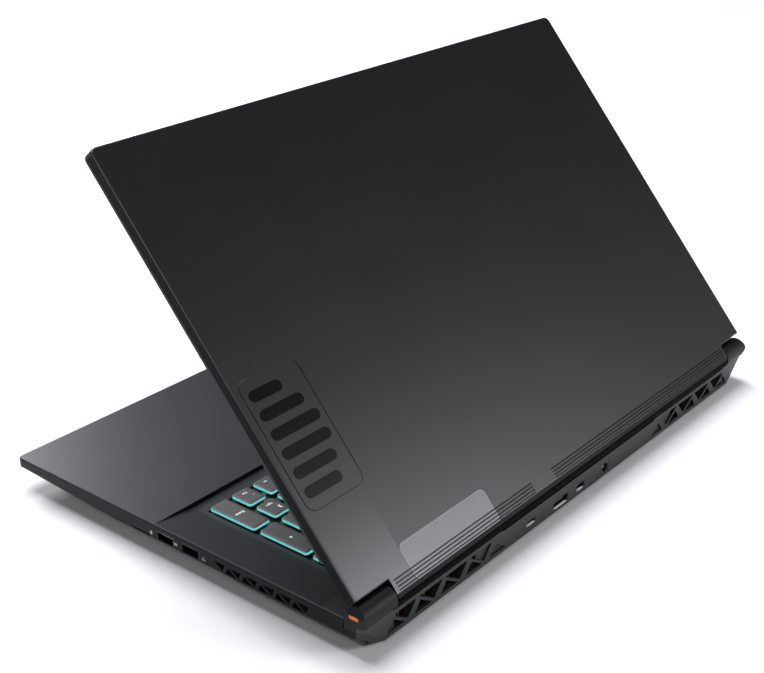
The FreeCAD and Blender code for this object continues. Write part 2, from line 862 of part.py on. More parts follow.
def key_groups():
    bottom_row = row_cells(0, [1.5, 1.0, 1.0, 1.25, 5.5, 1.25, 1.5, 1.0, 1.0])
    lower_row = row_cells(1, [2.25] + [1.0] * 10 + [1.75, 1.0])
    home_row = row_cells(2, [1.75] + [1.0] * 11 + [2.25])
    return {
        "function_row_keys": row_cells(5, [1.0] * 15) + pad_row(5, 4),
        "number_row_keys": row_cells(4, [1.0] * 13 + [2.0]) + pad_row(4, 4),
        "upper_letter_keys": row_cells(3, [1.5] + [1.0] * 12 + [1.5]) + pad_row(3, 3),
        "home_row_keys": home_row[:-1] + pad_row(2, 3),
        "main_enter_key": home_row[-1:],
        "lower_letter_keys": lower_row[:-1] + pad_row(1, 3),
        "bottom_row_keys": bottom_row[:4] + bottom_row[5:7],
        "space_bar": bottom_row[4:5],
        "arrow_keys": bottom_row[7:] + lower_row[-1:] + pad_row(0, 1),
        "pad_zero_key": [pad_cell(1, 0)],
        "pad_point_key": [pad_cell(2, 0)],
        "pad_plus_key": [pad_cell(3, 2, 2)],
        "pad_enter_key": [pad_cell(3, 0, 2)],
    }


def keyboard_sheet(inset, z0, z1):
    margin = plate_margin - inset
    y = (keyboard_front_y + keyboard_rear_y) / 2
    depth = keyboard_rear_y - keyboard_front_y
    return centred_box(0, y, 2 * (keyboard_half + margin), depth + 2 * margin, z0, z1)


def keyboard_plate():
    plate = keyboard_sheet(0, guide_top_z, plate_top_z)
    half_slot = key_post / 2 + key_post_gap
    rows = {}
    for cells in key_groups().values():
        for x0, x1, y0, y1 in cells:
            rows.setdefault((y0 + y1) / 2, []).append((x0 + x1) / 2)
    tools = [keyboard_sheet(plate_edge, 0, plate_low_z)]
    for y, places in rows.items():
        x0, x1 = min(places) - half_slot, max(places) + half_slot
        tools.append(box(x0, x1, y - half_slot, y + half_slot, 0, deck_z))
    return cut_all(plate, tools)


# Cooling: two fans that blow through fins at the rear and at the sides

def fan_housing():
    low, high = inner_floor_z + fan_wall, fan_top_z - fan_wall
    body = cut_plate(fan_x, fan_y, fan_width, fan_depth, inner_floor_z, fan_top_z, fan_corner)
    room = rod_z(fan_radius, fan_x, fan_y, low, high)
    duct = fan_radius - fan_corner
    rear_duct = box(fan_x - duct, fan_x + duct, fan_y, fan_y + fan_depth, low, high)
    side_duct = box(fan_x, fan_x + fan_width, fan_y - duct, fan_y + intake_radius, low, high)
    bridge = centred_box(fan_x, fan_y, fan_width, fan_bridge, 0, fan_top_z)
    intake = rod_z(intake_radius, fan_x, fan_y, 0, low + overcut).cut(bridge)
    body = cut_all(body, [room, rear_duct, side_duct, intake])
    spindle_top = rotor_top_z - rotor_gap - fit_gap
    return fuse_all([body, rod_z(spindle_radius, fan_x, fan_y, low - fan_wall / 2, spindle_top)])


def fan_rotor():
    radius = fan_radius - rotor_gap - blade_thickness
    sweep = math.radians(blade_sweep)
    reach = math.sqrt(radius ** 2 - (hub_radius * math.sin(sweep)) ** 2) - hub_radius * math.cos(sweep)
    low, high = rotor_z + fit_gap, rotor_top_z - fit_gap
    outline = []
    for step in range(2 * blade_count):
        angle = math.pi / blade_count * step
        outline.append((fan_x + hub_radius * math.cos(angle), fan_y + hub_radius * math.sin(angle)))
    pieces = [prism_z(outline, rotor_z, rotor_top_z)]
    for step in range(blade_count):
        blade = box(-blade_thickness, reach, -blade_thickness / 2, blade_thickness / 2, low, high)
        blade.rotate(V(0, 0, 0), V(0, 0, 1), -blade_sweep)
        blade.translate(V(hub_radius, 0, 0))
        blade.rotate(V(0, 0, 0), V(0, 0, 1), 360 / blade_count * step)
        pieces.append(blade.translated(V(fan_x, fan_y, 0)))
    bore = rod_z(spindle_radius + pin_clearance, fan_x, fan_y, 0, rotor_top_z - rotor_gap)
    return fuse_all(pieces).cut(bore)


def fin_stack(width, depth, height):
    fins = [box(0, width, 0, depth, z0, z0 + fin_thickness) for z0 in (0, height - fin_thickness)]
    count = int(width / fin_pitch)
    for step in range(count + 1):
        place = (width - fin_thickness) * step / count
        fins.append(box(place, place + fin_thickness, 0, depth, 0, height))
    return fuse_all(fins)


def rear_fin_stack():
    width = cap_inner_x - fin_gap - fin_inner_x
    stack = fin_stack(width, fin_depth, under_trough_z - fit_gap - inner_floor_z)
    return stack.translated(V(fin_inner_x, fin_rear_y - fin_depth, inner_floor_z))


def side_fin_stack():
    z0 = seam_z - fan_wall
    width = (side_vent_count - 1) * side_vent_pitch - side_vent_rib
    y0 = half_depth - side_vent_place + side_vent_pitch - side_vent_rib
    stack = fin_stack(width, fin_depth, plate_top_z - fit_gap - z0)
    stack.rotate(V(0, 0, 0), V(0, 0, 1), 90)
    return stack.translated(V(fan_x + fan_width / 2 + fin_depth, y0, z0))


def cooling_plates():
    plate = centred_box(cooler_spread, cooler_y, cooler_size, cooler_size, cooler_z, board_z)
    return Part.makeCompound(both_sides(plate))


def heat_pipe(lane):
    half = pipe_width / 2
    mitre = half * math.tan(math.pi / 8)
    x = cooler_spread + lane * pipe_pitch
    y = fin_rear_y - fin_depth - fit_gap - half - lane * pipe_pitch
    bend = pipe_bend - lane * pipe_pitch
    start = cooler_y - cooler_size / 2 + pipe_width
    end = fan_x + fan_width / 4
    outline = [
        (x - half, start), (x + half, start), (x + half, y - bend - mitre), (x + bend + mitre, y - half),
        (end, y - half), (end, y + half), (x + bend - mitre, y + half), (x - half, y - bend + mitre),
    ]
    return prism_z(outline, cooler_z - pipe_height, cooler_z)


def heat_pipes():
    pipes = []
    for lane in (0, 1):
        pipes += both_sides(heat_pipe(lane))
    return Part.makeCompound(pipes)


# Pieces on the board and beside it

def mainboard():
    front_arm = fan_y - fan_depth / 2 - fin_gap
    x = half_width - board_inset
    right = [(x, board_front_y), (x, front_arm), (board_half, front_arm), (board_half, fin_rear_y)]
    outline = right + [(-across, y) for across, y in reversed(right)]
    return prism_z(outline, board_z, board_top_z).cut(inlet_room())


def board_module(x0, size, drop):
    width, depth, thickness = size
    return box(x0, x0 + width, module_y, module_y + depth, board_z - drop - thickness, board_z - drop)


def memory_modules():
    x0 = -memory_size[0] / 2
    return Part.makeCompound([board_module(x0, memory_size, level * memory_size[2]) for level in range(2)])


def battery_pack():
    size = (battery_width, battery_depth)
    return cut_plate(0, battery_y, *size, inner_floor_z, battery_top_z, small_corner)


def speakers():
    width, depth = speaker_size
    case = cut_plate(speaker_x, battery_y, width, depth, inner_floor_z, battery_top_z, small_corner)
    return Part.makeCompound(both_sides(case))


def rubber_feet():
    x = half_width / 2
    corner = foot_width / 4
    rear_foot = (frame_front_y - foot_inset, foot_length)
    front_foot = (front_y + front_undercut + foot_inset, foot_length / 2)
    feet = []
    for y, length in (rear_foot, front_foot):
        feet += both_sides(cut_plate(x, y, length, foot_width, 0, foot_height, corner))
    return Part.makeCompound(feet)


os.makedirs("parts", exist_ok=True)

save("top_case", top_case())
save("bottom_cover", bottom_cover())
save("rear_vent_frame", rear_vent_frame())
for maker in (hinge_cap, hinge_bracket, fan_housing, fan_rotor, rear_fin_stack):
    shape = maker()
    save(maker.__name__ + "_right", shape)
    save(maker.__name__ + "_left", mirrored(shape))
save("side_fin_stacks", Part.makeCompound(both_sides(side_fin_stack())))
save("heat_pipes", heat_pipes())
save("cooling_plates", cooling_plates())
save("mainboard", mainboard())
save("memory_modules", memory_modules())
save("storage_module", board_module(edge_chamfer - board_half, storage_size, 0))
save("wireless_card", board_module(board_half - edge_chamfer - wireless_size[0], wireless_size, 0))
save("battery_pack", battery_pack())
save("speakers", speakers())
save("rubber_feet", rubber_feet())

save("serial_port_right", at_side(socket(serial_shape, upper_tongue), serial_place, 1))
save("serial_port_left", at_side(socket(serial_shape, upper_tongue), serial_place, -1))
save("network_socket", at_side(socket(network_shape), network_place, 1))
save("card_slot", at_side(socket(card_shape), card_place, 1))
save("audio_socket", audio_socket())
for name, (shape, place) in rear_ports.items():
    save(name, at_rear(socket(shape, middle_tongue), shape, place))
save("power_inlet", power_inlet())

save("keyboard_plate", keyboard_plate())
save("keyboard_light_guide", keyboard_sheet(0, guide_top_z - guide_thickness, guide_top_z))
for name, cells in key_groups().items():
    caps = [key(cell) for cell in cells]
    save(name, Part.makeCompound(caps) if len(caps) > 1 else caps[0])
save("touchpad", touchpad_block(0, touchpad_top_z - touchpad_thickness, touchpad_top_z))
save("power_button", button_block(0, button_top_z - button_height, button_top_z))

save("lid_cover", opened(lid_cover()))
save("lid_bezel", opened(lid_bezel()))
save("display_panel", opened(display_sheet(rim_z, tray_z)))
save("display_tray", opened(display_sheet(tray_z, tray_z + tray_thickness)))
save("camera_module", opened(camera_module()))
save("lid_bumpers", opened(lid_bumpers()))
save("hinge_arm_right", opened(hinge_arm()))
save("hinge_arm_left", opened(mirrored(hinge_arm())))
save("hinge_pins", opened(Part.makeCompound(both_sides(hinge_pin()))))
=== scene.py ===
import json
import math

import bmesh
import bpy
from mathutils import Matrix, Vector


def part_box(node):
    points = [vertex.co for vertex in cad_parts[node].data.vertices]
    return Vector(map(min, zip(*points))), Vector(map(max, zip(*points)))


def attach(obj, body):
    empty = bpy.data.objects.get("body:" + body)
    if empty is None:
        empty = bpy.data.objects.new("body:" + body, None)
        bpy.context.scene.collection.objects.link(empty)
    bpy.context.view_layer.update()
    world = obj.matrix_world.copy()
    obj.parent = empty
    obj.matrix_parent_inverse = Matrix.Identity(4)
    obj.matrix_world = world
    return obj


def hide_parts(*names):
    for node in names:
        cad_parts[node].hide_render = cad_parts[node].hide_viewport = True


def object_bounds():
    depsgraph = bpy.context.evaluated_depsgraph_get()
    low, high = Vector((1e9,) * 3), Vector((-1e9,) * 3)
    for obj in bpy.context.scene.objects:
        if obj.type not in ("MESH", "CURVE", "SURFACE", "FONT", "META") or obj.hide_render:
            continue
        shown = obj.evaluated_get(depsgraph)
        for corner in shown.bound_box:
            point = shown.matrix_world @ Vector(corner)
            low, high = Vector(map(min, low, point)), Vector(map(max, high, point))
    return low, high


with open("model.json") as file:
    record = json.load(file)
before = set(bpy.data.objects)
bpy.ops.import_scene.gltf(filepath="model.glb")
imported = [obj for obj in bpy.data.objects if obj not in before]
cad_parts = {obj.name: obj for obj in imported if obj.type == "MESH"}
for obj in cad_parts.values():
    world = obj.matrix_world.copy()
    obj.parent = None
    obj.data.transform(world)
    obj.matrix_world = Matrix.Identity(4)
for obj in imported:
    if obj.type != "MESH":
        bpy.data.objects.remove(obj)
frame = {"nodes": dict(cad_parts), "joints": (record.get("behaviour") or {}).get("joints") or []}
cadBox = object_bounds()
nodes = frame["nodes"]
mm = 0.001
print("frame loaded:", len(nodes), "nodes")

hingeJoint = next(joint for joint in frame["joints"] if joint["name"] == "lid_hinge")
hingePoint = Vector(hingeJoint["pos_m"])
lidTurn = math.radians(-hingeJoint["range_deg"][0])
lidUp = Vector((0, -math.cos(lidTurn), math.sin(lidTurn)))
lidOut = Vector((0, math.sin(lidTurn), math.cos(lidTurn)))
rightEdge = cadBox[1][0]
barrelRadius = 6.7 * mm
noiseRange = (0.3, 0.7)  # where most of a noise's values lie
pairRange = (0.7, 1.3)  # the same for the sum of two
black = (0, 0, 0)


def inMetres(sizes):
    return [size * mm for size in sizes]


def grey(level, tint=(1, 1, 1)):
    return tuple(level * share for share in tint)


class Wire:
    def __init__(self, finish, socket):
        self.finish = finish
        self.socket = socket

    def __add__(self, other):
        return self.finish.maths("ADD", self, other)

    def __sub__(self, other):
        return self.finish.maths("SUBTRACT", self, other)

    def __rsub__(self, other):
        return self.finish.maths("SUBTRACT", other, self)

    def __mul__(self, other):
        return self.finish.maths("MULTIPLY", self, other)

    __radd__ = __add__
    __rmul__ = __mul__


class Finish:
    def __init__(self, name):
        self.material = bpy.data.materials.new(name)
        self.material.use_nodes = True
        self.tree = self.material.node_tree
        self.shader = self.tree.nodes["Principled BSDF"]
        self.place = self.add("TexCoord", output="Object")

    def feed(self, sockets, values):
        for key, value in values.items():
            socket = sockets[key]
            if isinstance(value, Wire):
                self.tree.links.new(value.socket, socket)
            elif socket.type == "RGBA":
                socket.default_value = (*value[:3], 1)
            else:
                socket.default_value = value

    def add(self, kind, settings=None, values=None, output=0):
        node = self.tree.nodes.new("ShaderNode" + kind)
        for key, value in (settings or {}).items():
            setattr(node, key, value)
        self.feed(node.inputs, values or {})
        return Wire(self, node.outputs[output])

    def maths(self, operation, first, second=0.0):
        return self.add("Math", {"operation": operation}, {0: first, 1: second})

    def vector(self, operation, first, second, output=0):
        return self.add("VectorMath", {"operation": operation}, {0: first, 1: second}, output)

    def coordinate(self, axis):
        return self.add("SeparateXYZ", {}, {0: self.place}, axis)

    def noise(self, size, detail=3.0, stretch=(1, 1, 1)):
        place = self.vector("MULTIPLY", self.place, stretch)
        return self.add("TexNoise", {}, {"Vector": place, "Scale": 1 / size, "Detail": detail})

    def span(self, value, low, high, first=0.0, last=1.0):
        return self.add("MapRange", {}, {0: value, 1: low, 2: high, 3: first, 4: last})

    # a noise spread evenly about zero
    def swing(self, noise, amount):
        return self.span(noise, *noiseRange, -amount, amount)

    # one up to the limit, then down to zero over a soft edge
    def below(self, value, limit, soft):
        return self.span(value, limit, limit + soft, 1.0, 0.0)

    def band(self, value, low, high, soft):
        return self.span(value, low, low + soft) * self.below(value, high, soft)

    def mix(self, mask, first, second):
        return self.add("Mix", {"data_type": "RGBA"}, {0: mask, 6: first, 7: second}, 2)

    def bump(self, height, depth):
        return self.add("Bump", {}, {"Height": height, "Distance": depth, "Strength": 1.0})

    # what already feeds one of the shader's sockets
    def current(self, key):
        return Wire(self, self.shader.inputs[key].links[0].from_socket)

    # the base colour with each mask's tone laid over it in turn
    def layered(self, zones, **masks):
        toned = self.current("Base Color")
        for layer, mask in masks.items():
            toned = self.mix(mask, toned, zones[layer + "Tone"])
        return toned

    def surface(self, **values):
        self.feed(self.shader.inputs, {key.replace("_", " "): value for key, value in values.items()})
        return self


# satin paint and moulded plastic: a broad tone drift, a fine speckle and a grain that scatters the gloss,
# with the grain's size and depth in millimetres
satinLook = dict(patch=60.0, detail=2.0, fineGloss=0.05, broadGloss=0.3)


def satin(name, colour, roughness, grain=0.35, speckle=0.12, depth=0.02, drift=0.10, **more):
    finish = Finish(name)
    broad = finish.noise(satinLook["patch"] * mm, satinLook["detail"])
    fine = finish.noise(grain * mm, satinLook["detail"])
    tone = finish.swing(broad, drift) + finish.swing(fine, speckle)
    reach = drift + speckle
    mask = finish.span(tone, -reach, reach)
    gloss = finish.swing(fine, satinLook["fineGloss"]) + finish.swing(broad, satinLook["broadGloss"] * drift)
    return finish.surface(
        Base_Color=finish.mix(mask, grey(1 - reach, colour), grey(1 + reach, colour)),
        Roughness=roughness + gloss,
        Normal=finish.bump(fine, depth * mm),
        **more,
    )


# lid paint: the satin coat, with a paler rounded panel over the hinge grooves and a painted sheen that fades
# up the right edge; painted shade darkens the grooves, the barrel and its underside, and the side edges,
# beside a painted highlight along the bend of the side edges
lidZones = dict(
    coat=dict(depth=0.004, speckle=0.08, drift=0.03), back=(0.9, 0.7), soft=0.08,
    panel=(76.5, 8.5, 70.0, 19.4, 3.0), panelTone=(0.150, 0.151, 0.156), rim=0.45, rimTone=(0.23, 0.23, 0.24),
    sheen=(2.0, 41.0, 4.0, 62.0), sheenSoft=0.3, sheenTone=(0.085, 0.086, 0.090),
    groove=(0.30, 0.12), grooveFade=1.0, grooveRows=(-0.5, 6.1), rowSoft=0.1,
    grooveTone=(0.0012, 0.0012, 0.0014), grooveShade=0.6,
    bend=0.45, bendTone=(0.040, 0.040, 0.042), edge=0.08, edgeSoft=0.05, edgeTone=(0.0040, 0.0041, 0.0045),
    barrel=(-1.1, -0.8), barrelTone=(0.0020, 0.0020, 0.0022), barrelGloss=0.85, under=(-3.4, -3.1),
)


def lidPaint(name, colour, roughness, zones):
    finish = satin(name, colour, roughness, **zones["coat"])
    offset = finish.vector("SUBTRACT", finish.place, hingePoint)
    up = finish.vector("DOT_PRODUCT", offset, lidUp, "Value")
    out = finish.vector("DOT_PRODUCT", offset, lidOut, "Value")
    sideways = finish.coordinate(0)
    across = rightEdge - sideways
    inward = rightEdge - finish.maths("ABSOLUTE", sideways)
    back = finish.span(out, *(barrelRadius - size for size in inMetres(zones["back"])))

    x, y, width, depth, radius = inMetres(zones["panel"])
    overX = finish.maths("MAXIMUM", finish.maths("ABSOLUTE", across - x) - (width / 2 - radius))
    overY = finish.maths("MAXIMUM", finish.maths("ABSOLUTE", up - y) - (depth / 2 - radius))
    far = finish.maths("SQRT", overX * overX + overY * overY) - radius
    soft = zones["soft"] * mm
    panel = finish.below(far, -soft, 2 * soft) * back
    rim = finish.below(far, zones["rim"] * mm - soft, 2 * soft) * back

    # painted sheen: a paler tone fading up the lid's right edge, standing in for a highlight
    left, right, low, high = inMetres(zones["sheen"])
    sheenSoft = zones["sheenSoft"] * mm
    fade = finish.span(up, low, high, 1.0, 0.0)
    sheen = fade * fade * finish.band(across, left, right - sheenSoft, sheenSoft) * back

    # painted shade: the insides of the hinge grooves darkened towards black
    deep, shallow = (barrelRadius - size for size in inMetres(zones["groove"]))
    groove = finish.span(out, deep, shallow, 1.0, 0.0) * finish.span(out, 0, zones["grooveFade"] * mm)
    groove = groove * finish.band(up, *inMetres(zones["grooveRows"]), zones["rowSoft"] * mm)

    # painted shade on the lid's side faces, and a painted highlight along the bend beside them
    edgeSoft = zones["edgeSoft"] * mm
    bend = finish.below(inward, zones["bend"] * mm, edgeSoft) * back
    edge = finish.below(inward, zones["edge"] * mm, edgeSoft)
    # painted shade: the barrel near black and rough, its underside darker still
    barrel = finish.span(up, *inMetres(zones["barrel"]), 1.0, 0.0)
    under = finish.span(up, *inMetres(zones["under"]), 1.0, 0.0)
    gloss = finish.current("Roughness")
    toned = finish.layered(
        zones, sheen=sheen, rim=rim, panel=panel, groove=groove, bend=bend, edge=edge, barrel=barrel)
    return finish.surface(
        Base_Color=toned,
        Roughness=gloss + barrel * (zones["barrelGloss"] - gloss),
        Metallic=finish.maths("MAXIMUM", groove * zones["grooveShade"], finish.maths("MAXIMUM", under, edge)),
    )


# case paint: the satin deck, with side walls darkened as painted shade, a pale line along its side edges as a
# painted highlight, and a seam line
caseZones = dict(
    coat=dict(depth=0.006, speckle=0.08, drift=0.03, Specular_IOR_Level=0.16), soft=0.1,
    wall=(197.45, 197.75), wallTone=(0.0045, 0.0046, 0.0050), wallShade=0.45,
    seam=(103.65, 103.95), seamEnds=(185.0, 195.8), seamTone=(0.05, 0.05, 0.052),
    line=(197.15, 197.75), lineHeight=(19.2, 19.4), lineTone=(0.10, 0.10, 0.104),
)


def casePaint(name, colour, roughness, zones):
    finish = satin(name, colour, roughness, **zones["coat"])
    soft = zones["soft"] * mm
    side = finish.maths("ABSOLUTE", finish.coordinate(0))
    # painted shade: the side walls darkened and partly metallic
    wall = finish.span(side, *inMetres(zones["wall"]))
    seam = finish.band(finish.coordinate(1), *inMetres(zones["seam"]), soft)
    seam = seam * finish.band(side, *inMetres(zones["seamEnds"]), soft)
    # painted highlight: a pale line along the deck's side edges
    line = finish.band(side, *inMetres(zones["line"]), soft)
    line = line * finish.span(finish.coordinate(2), *inMetres(zones["lineHeight"]))
    toned = finish.layered(zones, wall=wall, seam=seam, line=line)
    return finish.surface(Base_Color=toned, Metallic=wall * zones["wallShade"])


# brushed or drawn metal: long streaks along one axis
drawnLook = dict(streak=0.25, streakDetail=3.0, patch=9.0, patchDetail=4.0, dark=0.72, gloss=0.08, depth=0.01)


def drawn(name, colour, roughness, along=(0.04, 1, 1)):
    finish = Finish(name)
    lines = finish.noise(drawnLook["streak"] * mm, drawnLook["streakDetail"], along)
    spots = finish.noise(drawnLook["patch"] * mm, drawnLook["patchDetail"])
    tone = finish.span(lines + spots, *pairRange)
    return finish.surface(
        Base_Color=finish.mix(tone, grey(drawnLook["dark"], colour), colour),
        Roughness=roughness + finish.swing(lines, drawnLook["gloss"]),
        Metallic=1.0,
        Normal=finish.bump(lines, drawnLook["depth"] * mm),
    )


# rear sockets: dark metal shells with a painted glint, a bright strip on the inner floor at the mouth
shellZones = dict(
    colour=(0.10, 0.10, 0.102), roughness=0.35, along=(1, 1, 0.06),
    floor=0.60, sill=1.0, soft=0.1, sillTone=(0.90, 0.90, 0.91),
)


def plainShell(name, zones):
    return drawn(name, zones["colour"], zones["roughness"], zones["along"])


def socketShell(name, node, zones):
    finish = plainShell(name, zones)
    low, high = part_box(node)
    soft = zones["soft"] * mm
    inner = high.y - zones["sill"] * mm
    # painted glint: the front of each shell's inner floor near white and not metallic
    sill = finish.below(finish.coordinate(2), low.z + zones["floor"] * mm, soft)
    sill = sill * finish.span(finish.coordinate(1), inner - soft, inner)
    return finish.surface(Base_Color=finish.layered(zones, sill=sill), Metallic=1.0 - sill)


# power inlet: dark plastic with a painted glint, the pin in its round bore painted near white
inletZones = dict(pin=1.10, soft=0.1, pinTone=(0.85, 0.85, 0.86))


def inletPlastic(name, colour, roughness, zones):
    finish = satin(name, colour, roughness)
    low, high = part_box("power_inlet")
    middle = (low + high) / 2
    sideways = finish.coordinate(0) - middle.x
    upward = finish.coordinate(2) - middle.z
    far = finish.maths("SQRT", sideways * sideways + upward * upward)
    # painted glint: the pin painted near white
    pin = finish.below(far, zones["pin"] * mm, zones["soft"] * mm)
    return finish.surface(Base_Color=finish.layered(zones, pin=pin))


# key caps: matt plastic with a painted highlight, a pale band below the top
keyZones = dict(
    fine=0.3, fineDetail=2.0, wear=7.0, wearDetail=3.0, shades=(0.8, 1.2), gloss=0.08, depth=0.02,
    rim=(19.52, 19.84), soft=0.05, rimTone=(0.34, 0.37, 0.375),
)


def keyCap(name, colour, roughness, zones):
    finish = Finish(name)
    fine = finish.noise(zones["fine"] * mm, zones["fineDetail"])
    wear = finish.noise(zones["wear"] * mm, zones["wearDetail"])
    # painted highlight: a pale band round each cap just below its top
    rim = finish.band(finish.coordinate(2), *inMetres(zones["rim"]), zones["soft"] * mm)
    dark, light = (grey(shade, colour) for shade in zones["shades"])
    top = finish.mix(finish.span(fine + wear, *pairRange), dark, light)
    return finish.surface(
        Base_Color=finish.mix(rim, top, zones["rimTone"]),
        Roughness=roughness + finish.swing(wear, zones["gloss"]),
        Normal=finish.bump(fine, zones["depth"] * mm),
    )


# lit skirts round the key caps
skirtLook = dict(patch=5.0, detail=2.0, glow=(0.82, 1.0), share=0.4, roughness=0.45, strength=1.0)


def litSkirt(name, glow, look):
    finish = Finish(name)
    patch = finish.span(finish.noise(look["patch"] * mm, look["detail"]), *noiseRange, *look["glow"])
    return finish.surface(
        Base_Color=finish.mix(patch, black, grey(look["share"], glow)),
        Roughness=look["roughness"],
        Emission_Color=finish.mix(patch, black, glow),
        Emission_Strength=look["strength"],
    )


# light sheet under the keys
sheetLook = dict(
    patch=11.0, detail=2.0, glow=(0.25, 0.6), colour=(0.05, 0.08, 0.08), roughness=0.6, strength=0.5,
)


def glowSheet(name, glow, look):
    finish = Finish(name)
    patch = finish.span(finish.noise(look["patch"] * mm, look["detail"]), *noiseRange, *look["glow"])
    return finish.surface(
        Base_Color=look["colour"],
        Roughness=look["roughness"],
        Emission_Color=finish.mix(patch, black, glow),
        Emission_Strength=look["strength"],
    )


# circuit boards: paler tracks between cells, under a thin dust
boardLook = dict(
    cells=260.0, edge=(0.02, 0.06), track=(0.03, 0.045, 0.05), dust=4.0, dustDetail=4.0,
    dark=(0.006, 0.010, 0.016), pale=(0.012, 0.020, 0.028), roughness=0.38, gloss=0.08, depth=0.02,
)


def circuitBoard(name, look):
    finish = Finish(name)
    cells = finish.add(
        "TexVoronoi", {"feature": "DISTANCE_TO_EDGE"}, {"Vector": finish.place, "Scale": look["cells"]})
    tracks = finish.span(cells, *look["edge"])
    dust = finish.noise(look["dust"] * mm, look["dustDetail"])
    return finish.surface(
        Base_Color=finish.mix(tracks, look["track"], finish.mix(dust, look["dark"], look["pale"])),
        Roughness=look["roughness"] + finish.swing(dust, look["gloss"]),
        Normal=finish.bump(tracks, look["depth"] * mm),
    )


# display glass: dark, with a faint haze
glassLook = dict(
    haze=60.0, detail=2.0, dark=(0.0055, 0.0057, 0.0062), pale=(0.0065, 0.0067, 0.0074),
    roughness=0.30, gloss=0.004, specular=0.3,
)


def displayGlass(name, look):
    finish = Finish(name)
    haze = finish.noise(look["haze"] * mm, look["detail"])
    return finish.surface(
        Base_Color=finish.mix(haze, look["dark"], look["pale"]),
        Roughness=look["roughness"] + finish.swing(haze, look["gloss"]),
        Specular_IOR_Level=look["specular"],
    )


cyan = (0.15, 0.62, 0.61)
socketBlack = (0.008, 0.008, 0.009)
finishes = {
    "lid_finish": lidPaint("lidPaint", (0.0060, 0.0063, 0.0072), 0.37, lidZones),
    "case_plastic": casePaint("deckPaint", (0.0180, 0.0188, 0.0212), 0.38, caseZones),
    "cover_plastic": satin("coverPlastic", (0.0155, 0.0160, 0.0178), 0.50),
    "cap_plastic": satin("capPlastic", (0.0065, 0.0066, 0.0071), 0.52, Specular_IOR_Level=0.22),
    "bezel_plastic": satin("bezelPlastic", (0.0095, 0.0096, 0.0102), 0.58, depth=0.03),
    "screen": displayGlass("displayGlass", glassLook),
    "tray_metal": drawn("trayMetal", (0.42, 0.42, 0.44), 0.45),
    "hinge_steel": drawn("hingeSteel", (0.36, 0.36, 0.38), 0.35, along=(1, 0.05, 1)),
    "plate_metal": satin("plateMetal", (0.020, 0.021, 0.022), 0.50),
    "light_sheet": glowSheet("lightSheet", cyan, sheetLook),
    "key_plastic": keyCap("keyPlastic", (0.017, 0.017, 0.0185), 0.50, keyZones),
    "touch_surface": satin(
        "touchSurface", (0.0200, 0.0208, 0.0234), 0.38, depth=0.004, drift=0.03, Specular_IOR_Level=0.22),
    "board": circuitBoard("circuitBoard", boardLook),
    "battery_wrap": satin("batteryWrap", (0.010, 0.010, 0.011), 0.48),
    "module": circuitBoard("moduleBoard", boardLook),
    "copper": drawn("copperPipe", (0.52, 0.28, 0.20), 0.30),
    "fan_plastic": satin("fanPlastic", (0.011, 0.011, 0.012), 0.45),
    "socket_metal": plainShell("socketShell", shellZones),
    "socket_plastic": satin("socketPlastic", socketBlack, 0.42),
    "video_shell": socketShell("videoShell", "video_port", shellZones),
    "reversible_shell": socketShell("reversibleShell", "reversible_port", shellZones),
    "small_shell": socketShell("smallShell", "small_display_port", shellZones),
    "inlet_plastic": inletPlastic("inletPlastic", socketBlack, 0.42, inletZones),
    "rubber_black": satin("footRubber", (0.012, 0.012, 0.012), 0.75, depth=0.06),
}
for item in nodes.values():
    for place in item.material_slots:
        if place.material and place.material.name in finishes:
            place.material = finishes[place.material.name].material

# nodes whose finish differs from the one that they share
ownFinishes = {
    "hinge_cap_right": ("cover_plastic", "cap_plastic"),
    "hinge_cap_left": ("cover_plastic", "cap_plastic"),
    "video_port": ("socket_metal", "video_shell"),
    "reversible_port": ("socket_metal", "reversible_shell"),
    "small_display_port": ("socket_metal", "small_shell"),
    "power_inlet": ("socket_plastic", "inlet_plastic"),
}
for name, (common, own) in ownFinishes.items():
    for place in nodes[name].material_slots:
        if place.material == finishes[common].material:
            place.material = finishes[own].material
print("finishes set on the CAD nodes:", len(finishes))

# soft edges: each node is welded, its flat faces are joined, and its edges take a small round
softEdges = {
    "lid_cover": 0.35, "lid_bezel": 0.30, "top_case": 0.30, "bottom_cover": 0.35, "rear_vent_frame": 0.22,
    "hinge_cap_right": 0.40, "hinge_cap_left": 0.40, "touchpad": 0.15, "power_button": 0.25,
    "rubber_feet": 0.5,
}
softShape = dict(weld=0.002, flatAngle=0.5, edgeAngle=25, segments=2)


def weldTree(sizes):
    tree = bpy.data.node_groups.new("weldCorners", "GeometryNodeTree")
    tree.interface.new_socket("Geometry", in_out="INPUT", socket_type="NodeSocketGeometry")
    tree.interface.new_socket("Geometry", in_out="OUTPUT", socket_type="NodeSocketGeometry")
    kinds = (
        "NodeGroupInput", "GeometryNodeRemoveAttribute", "GeometryNodeMergeByDistance", "NodeGroupOutput",
    )
    chain = [tree.nodes.new(kind) for kind in kinds]
    chain[1].inputs["Name"].default_value = "custom_normal"
    chain[2].inputs["Distance"].default_value = sizes["weld"] * mm
    for first, second in zip(chain, chain[1:]):
        tree.links.new(first.outputs[0], second.inputs[0])
    return tree


def soften(item, width, welder, sizes):
    item.modifiers.new("weld", "NODES").node_group = welder
    flat = item.modifiers.new("flat", "DECIMATE")
    flat.decimate_type = "DISSOLVE"
    flat.angle_limit = math.radians(sizes["flatAngle"])
    edge = item.modifiers.new("edge", "BEVEL")
    edge.width = width
    edge.segments = sizes["segments"]
    edge.limit_method = "ANGLE"
    edge.angle_limit = math.radians(sizes["edgeAngle"])
    edge.use_clamp_overlap = True
    edge.harden_normals = False
    normals = item.modifiers.new("normals", "WEIGHTED_NORMAL")
    normals.keep_sharp = True


